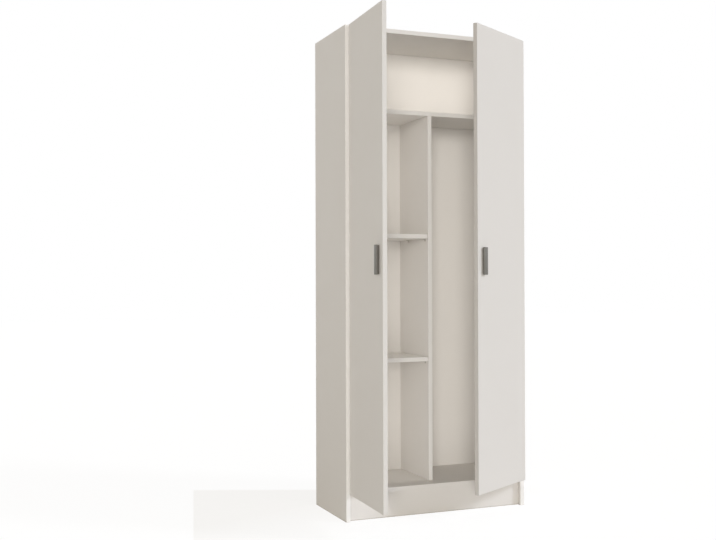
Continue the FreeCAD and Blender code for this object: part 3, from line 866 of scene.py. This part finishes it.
def cam_shape(size):
    """A cast cam lock: a rimmed disc with a cross slot, a pointer and a mouth for the bolt."""
    half = size / 2
    cam = rod(half.x, (0, 0, -half.z), (0, 0, half.z), sides=48)
    pick(cam, "faces", facing((0, 0, 1)))
    bpy.ops.mesh.inset(thickness=CAM_RIM, depth=0)
    bpy.ops.mesh.inset(thickness=CAM_RIM_SLOPE, depth=-CAM_RIM_HEIGHT)
    settled(cam)
    cross_recess(cam, half.z - CAM_RIM_HEIGHT, CAM_CROSS_REACH, CAM_CROSS_WIDTH, CAM_CROSS_DEPTH)
    cut(cam, block((CAM_POINTER_START, -CAM_POINTER_HALF_WIDTH, half.z - CAM_POINTER_DEPTH),
                   (CAM_POINTER_END, CAM_POINTER_HALF_WIDTH, half.z + OVERCUT)))
    mouth = half.z - CAM_MOUTH_DROP
    cut(cam, block((-half.x - OVERCUT, -CAM_MOUTH_HALF, mouth - CAM_MOUTH_HALF),
                   (CAM_MOUTH_END, CAM_MOUTH_HALF, mouth + CAM_MOUTH_HALF)))
    return eased(cam, CAM_EASE)


PIN_CHEEK = 1.5 * MM
PIN_CHEEK_CORNER = 3.6 * MM
PIN_TAB = 3.0 * MM
PIN_TAB_CORNER = 2.6 * MM
PIN_RADIUS = 2.5 * MM
PIN_SIDES = 24
PIN_EASE = 0.3 * MM


def pin_shape(size):
    """A shelf pin: a shaft, a rounded cheek against the wall and a flat tab under the shelf."""
    half = size / 2
    cheek = block((0, -half.y, -half.z), (PIN_CHEEK, half.y, half.z))
    rounded(cheek, along(cheek, (1, 0, 0), lambda middle: middle.z < 0), PIN_CHEEK_CORNER, 6)
    tab = block((0, -half.y, half.z - PIN_TAB), half)
    united(cheek, rounded(tab, along(tab, (0, 0, 1), lambda middle: middle.x > PIN_CHEEK), PIN_TAB_CORNER, 5))
    united(cheek, rod(PIN_RADIUS, (-half.x, 0, 0), (PIN_CHEEK / 2, 0, 0), PIN_SIDES))
    return eased(cheek, PIN_EASE)


BUFFER_DOME = 1.1 * MM


def buffer_shape(size):
    """A soft domed pad."""
    half = size / 2
    pad = rod(half.x, (0, -half.y, 0), (0, half.y, 0), sides=36)
    pick(pad, "faces", facing((0, 1, 0)))
    bevelled(BUFFER_DOME, segments=5)
    return settled(pad)


BRACKET_THICKNESS = 2.0 * MM
BRACKET_CORNER = 5.0 * MM
BRACKET_HOLE_DROP = 20.0 * MM
BRACKET_HOLE_RADIUS = 3.0 * MM
BRACKET_SCREW_FROM_BACK = 18.0 * MM
BRACKET_EASE = 0.35 * MM


def bracket_shape(size):
    """A bent steel angle with rounded corners, a wall hole and a screw hole."""
    half = size / 2
    level = block((-half.x, -half.y, half.z - BRACKET_THICKNESS), half)
    rounded(level, along(level, (0, 0, 1), lambda middle: middle.y < 0), BRACKET_CORNER, 6)
    upright = block((-half.x, half.y - BRACKET_THICKNESS, -half.z), half)
    united(level, rounded(upright, along(upright, (0, 1, 0), lambda middle: middle.z < 0), BRACKET_CORNER, 6))
    z = half.z - BRACKET_HOLE_DROP
    cut(level, rod(BRACKET_HOLE_RADIUS, (0, 0, z), (0, half.y + OVERCUT, z)))
    y = half.y - BRACKET_SCREW_FROM_BACK
    cut(level, rod(SCREW_HOLE_RADIUS, (0, y, 0), (0, y, half.z + OVERCUT), SCREW_HOLE_SIDES))
    return eased(level, BRACKET_EASE)


# Putting pieces in place
POINT_DIGITS = 6
ORDER_DIGITS = 4


def placing(side, turn):
    """The matrix from a shut left door's axes to where a side's pieces stand."""
    turned = Matrix.Rotation(-turn, 4, "Z")
    return Matrix.Scale(-1, 4, (1, 0, 0)) @ turned if side == "right" else turned


def solids(node, matrix):
    """The boxes of a node's separate solids, in the axes that the matrix comes from."""
    back = matrix.inverted()
    mesh = nodes[node].data
    points = [back @ vertex.co for vertex in mesh.vertices]
    keys = [tuple(round(c, POINT_DIGITS) for c in point) for point in points]
    leader = {key: key for key in keys}

    def root(key):
        while leader[key] != key:
            leader[key] = leader[leader[key]]
            key = leader[key]
        return key

    for face in mesh.polygons:
        first = root(keys[face.vertices[0]])
        for i in face.vertices[1:]:
            leader[root(keys[i])] = first
    boxes = {}
    for key, point in zip(keys, points):
        group = root(key)
        low, high = boxes.get(group, (point, point))
        boxes[group] = (Vector(map(min, low, point)), Vector(map(max, high, point)))
    return sorted(boxes.values(), key=lambda box: tuple(round(c, ORDER_DIGITS) for c in reversed(box[0])))


def body_of(node):
    bodies = record["behaviour"]["bodies"]
    return next(body for body, members in bodies.items() if node in members)


def slot_of(node):
    return next(part["material_slot"] for part in record["subparts"] if part["node"] == node)


def dress(node, make, finish, matrix=Matrix.Identity(4), flip=None):
    """Stands one detailed piece for a CAD node, with a copy of the made shape for each of its solids."""
    boxes = solids(node, matrix)
    pattern = make(boxes[0][1] - boxes[0][0])
    parts = []
    for low, high in boxes:
        middle = (low + high) / 2
        place = matrix @ Matrix.Translation(middle)
        if flip is not None:
            place = place @ flip(middle)
        mesh = pattern.data.copy()
        mesh.transform(place)
        if place.determinant() < 0:
            mesh.flip_normals()
        part = bpy.data.objects.new(node + "_part", mesh)
        bpy.context.scene.collection.objects.link(part)
        parts.append(part)
    bpy.data.objects.remove(pattern)
    piece = joined(parts)
    piece.name = node + "_look"
    chosen(piece)
    bpy.ops.object.shade_smooth_by_angle(angle=SMOOTH_ANGLE)
    piece.data.materials.clear()
    piece.data.materials.append(finish)
    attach(piece, body_of(node))
    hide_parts(node)
    slot_of(node)


def paint(node, finish):
    """Gives a CAD node its finish."""
    shown = nodes[node]
    shown.data.materials.clear()
    shown.data.materials.append(finish)


def paint_board(node, thin, banded, raw, **options):
    """Gives a board its own chipboard finish."""
    paint(node, board_finish(node, thin, banded, raw, **options))


def paint_boards():
    """Gives every board and the back panel its finish."""
    # The side panels take the lighter band white, partly painted light on their front edges.
    for node in ("left_side_panel", "right_side_panel"):
        paint_board(node, "x", ("y0", "z1"), ("z0", "y1"), band_colour=BAND_WHITE_PAINTED_LIGHT, soiled_foot=True)
    for node in ("top_panel", "bottom_panel"):
        paint_board(node, "z", ("y0",), ("y1", "x0", "x1"))
    # The shelves and divider take the same lighter band white, partly painted light on their front edges.
    for node in ("fixed_shelf", "upper_small_shelf", "lower_small_shelf"):
        paint_board(node, "z", ("y0",), ("y1", "x0", "x1"), band_colour=BAND_WHITE_PAINTED_LIGHT)
    paint_board("divider_panel", "x", ("y0",), ("y1", "z0", "z1"), band_colour=BAND_WHITE_PAINTED_LIGHT)
    # Like the side panels above, the plinth gets a painted shade along its foot.
    paint_board("plinth_board", "y", (), ("z0", "z1", "x0", "x1"), soiled_foot=True)
    paint_board("floor_support", "x", (), ("z0", "z1", "y0", "y1"))
    paint("back_panel", hardboard_finish("back_panel"))
    all_edges = ("x0", "x1", "z0", "z1")
    # The doors' bands: the right one is darker, painted shade on its edges.
    for side, way in (("left", 1), ("right", -1)):
        turn = way * DOOR_ANGLES[side]
        paint_board(side + "_door_panel", "y", all_edges, (), turn=turn, band_colour=DOOR_BANDS_RIGHT_PAINTED_SHADE[side])


def fit_hardware():
    """Dresses or paints everything that isn't a board."""
    nickel = metal_finish("nickel_finish", NICKEL, NICKEL_DARK, roughness=0.24)
    pin_steel = metal_finish("pin_finish", NICKEL, NICKEL_DARK, roughness=0.32, brush=(1.0, 1.0, 0.05))
    zinc = metal_finish("zinc_finish", ZINC, ZINC_DARK, roughness=0.34)
    casting = metal_finish("casting_finish", CASTING, CASTING_DARK, roughness=0.48, pits=0.8)
    steel = metal_finish("bracket_finish", ZINC, ZINC_DARK, roughness=0.38, brush=(0.06, 1.0, 1.0))
    grey = handle_finish()
    rubber = rubber_finish()
    for side in ("left", "right"):
        carried = placing(side, 0.0)
        hung = placing(side, DOOR_ANGLES[side])
        dress(side + "_handle", handle_shape, grey, hung)
        dress(side + "_hinge_cups", cup_shape, nickel, hung)
        dress(side + "_hinge_arms", arm_shape, nickel, carried)
        dress(side + "_hinge_plates", plate_shape, nickel, carried)
        dress(side + "_door_buffers", buffer_shape, rubber, hung)
        for name, axis, shank, head, matrix in (
                ("_hinge_plate_screws", X_AXIS, SCREW_SHANK, WOOD_SCREW_HEAD, carried),
                ("_hinge_cup_screws", Y_AXIS, SCREW_SHANK, WOOD_SCREW_HEAD, hung),
                ("_hinge_arm_screws", X_AXIS, SCREW_SHANK, ARM_SCREW_HEAD, carried),
                ("_handle_bolts", Y_AXIS, BOLT_SHANK, BOLT_HEAD, hung)):
            dress(side + name, screw_maker(axis, 1, shank, head), zinc, matrix)
        paint(side + "_hinge_links", nickel)
        paint(side + "_hinge_arm_pins", pin_steel)
        paint(side + "_hinge_cup_pins", pin_steel)
    dress("wall_brackets", bracket_shape, steel)
    dress("wall_bracket_screws", screw_maker(Z_AXIS, -1, SCREW_SHANK, WOOD_SCREW_HEAD), zinc)

    bottom_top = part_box("bottom_panel")[1].z
    column_middle = (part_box("left_side_panel")[1].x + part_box("divider_panel")[0].x) / 2

    def cam_flip(middle):
        """Points a cam's mouth at the nearer side panel, and its face down in the bottom panel."""
        return Matrix.Diagonal((1 if middle.x < 0 else -1, 1, -1 if middle.z < bottom_top else 1, 1))

    def pin_flip(middle):
        """Points a pin's shaft into the board that it stands in."""
        return Matrix.Diagonal((1 if middle.x < column_middle else -1, 1, 1, 1))

    dress("cam_locks", cam_shape, casting, flip=cam_flip)
    dress("shelf_pins", pin_shape, pin_steel, flip=pin_flip)
    paint("cam_bolts", zinc)
    paint("back_panel_nails", zinc)
    paint("wooden_dowels", beech_finish())


# Light, sky and floor
def hung_up(name, data):
    """An object that holds a lamp's data in the scene."""
    holder = bpy.data.objects.new(name, data)
    bpy.context.scene.collection.objects.link(holder)
    return holder


def lamp(name, turn, height, softness, strength, colour):
    """A wide soft lamp far away."""
    data = bpy.data.lights.new(name, "SUN")
    data.energy = strength
    data.color = colour
    data.angle = softness
    away = Vector((math.sin(turn) * math.cos(height), -math.cos(turn) * math.cos(height), math.sin(height)))
    hung_up(name, data).rotation_euler = away.to_track_quat("Z", "Y").to_euler()


def glow(name, strength, spread, left, right, foot, head):
    """A wide soft lamp in a compartment's open front, that shines inwards."""
    data = bpy.data.lights.new(name, "AREA")
    data.shape = "RECTANGLE"
    data.size = right - left
    data.size_y = head - foot
    data.energy = strength * math.pi * data.size * data.size_y
    data.color = WARM_LIGHT
    data.spread = spread
    holder = hung_up(name, data)
    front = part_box("divider_panel")[0].y
    holder.location = ((left + right) / 2, front + GLOW_DEPTH, (foot + head) / 2)
    holder.rotation_euler = (math.radians(90), 0, 0)
    holder.visible_camera = False
    holder.visible_glossy = False


def inner_glow():
    """Lights the compartments as the open front would in a bright room."""
    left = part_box("left_side_panel")[1].x
    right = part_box("right_side_panel")[0].x
    divider_low, divider_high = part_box("divider_panel")
    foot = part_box("bottom_panel")[1].z
    shelf_low, shelf_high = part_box("fixed_shelf")
    glow("top_glow", TOP_GLOW, TOP_GLOW_SPREAD, left, right, shelf_high.z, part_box("top_panel")[0].z)
    glow("left_glow", LEFT_GLOW, LEFT_GLOW_SPREAD, left, divider_low.x, foot, shelf_low.z)
    glow("right_glow", RIGHT_GLOW, RIGHT_GLOW_SPREAD, divider_high.x, right, foot, shelf_low.z)


def sky():
    """White where it is seen, mirrored or looked at through a clear piece, and a plain warm grey as light."""
    world = bpy.data.worlds.new("sky")
    bpy.context.scene.world = world
    world.use_nodes = True
    network = Network(world.node_tree)
    network.tree.nodes.clear()
    seen = network.node("ShaderNodeLightPath", {}, {}, "Is Camera Ray")
    shown = seen.most(seen.sibling("Is Glossy Ray")).most(seen.sibling("Is Transmission Ray"))
    light = network.node("ShaderNodeBackground", {}, {"Color": SKY_COLOUR, "Strength": SKY_STRENGTH})
    white = network.node("ShaderNodeBackground", {}, {"Color": SKY_WHITE})
    output = network.tree.nodes.new("ShaderNodeOutputWorld")
    network.feed(output.inputs["Surface"], network.shaders_mixed(shown, light, white))


def dotted(finish, direction):
    """How far a point lies along a direction, from the camera's foot."""
    foot = (CAMERA_PLACE.x, CAMERA_PLACE.y, 0)
    place = finish.node("ShaderNodeVectorMath", {"operation": "SUBTRACT"}, {0: finish.coordinates, 1: foot})
    dot = {"operation": "DOT_PRODUCT"}
    return finish.node("ShaderNodeVectorMath", dot, {0: place, 1: direction}, "Value")


def painted_shadow_patch(finish):
    """A signal that is 1 in the floor's painted shadow patch and 0 outside it, with a soft front edge."""
    right, forward = level_axes()
    across = dotted(finish, right)
    away = dotted(finish, forward)
    left_slope = (PATCH_LEFT_PIXEL - VANISHING_X) / FOCAL_PIXELS
    inside = (away < PATCH_DEPTH) * (across > away * left_slope)
    from_front = ((away - PATCH_FRONT_AWAY) * math.cos(PATCH_FRONT_TURN)
                  - (across - PATCH_FRONT_ACROSS) * math.sin(PATCH_FRONT_TURN))
    return inside * from_front.between(0.0, PATCH_FADE)


def floor():
    """A pale floor that shows white to the camera apart from its painted shadow patch and the cupboard's soft
    shadow.
    """
    start()
    bpy.ops.mesh.primitive_plane_add(size=FLOOR_SIZE, location=(0, 0, 0))
    ground = bpy.context.object
    ground.name = "floor"
    finish = Finish("floor_finish")
    cloud = finish.noise(scale=1.5, detail=2.0)
    finish.done(finish.mixed(cloud * FLOOR_CLOUD, FLOOR_COLOUR, FLOOR_PALE_AND_PAINTED_SHADOW), FLOOR_ROUGHNESS)
    # Painted shadow: inside the patch, the camera sees the paler colour.
    shown_colour = finish.mixed(painted_shadow_patch(finish), FLOOR_WHITE, FLOOR_PALE_AND_PAINTED_SHADOW)
    white = finish.node("ShaderNodeEmission", {}, {"Color": shown_colour, "Strength": FLOOR_LIFT})
    share = finish.node("ShaderNodeLightPath", {}, {}, "Is Camera Ray") * (1.0 - FLOOR_SHADOW_SHARE)
    lit = Signal(finish, finish.shader.outputs[0])
    output = next(node for node in finish.tree.nodes if node.type == "OUTPUT_MATERIAL")
    finish.feed(output.inputs["Surface"], finish.shaders_mixed(share, lit, white))
    ground.data.materials.append(finish.material)


camera()
bpy.context.scene.view_settings.view_transform = "Standard"
lamp("key", KEY_TURN, KEY_HEIGHT, KEY_SOFTNESS, KEY_STRENGTH, COOL_LIGHT)
lamp("fill", FILL_TURN, FILL_HEIGHT, FILL_SOFTNESS, FILL_STRENGTH, WARM_LIGHT)
lamp("side", SIDE_TURN, SIDE_HEIGHT, SIDE_SOFTNESS, SIDE_STRENGTH, WARM_LIGHT)
inner_glow()
sky()
floor()
paint_boards()
fit_hardware()
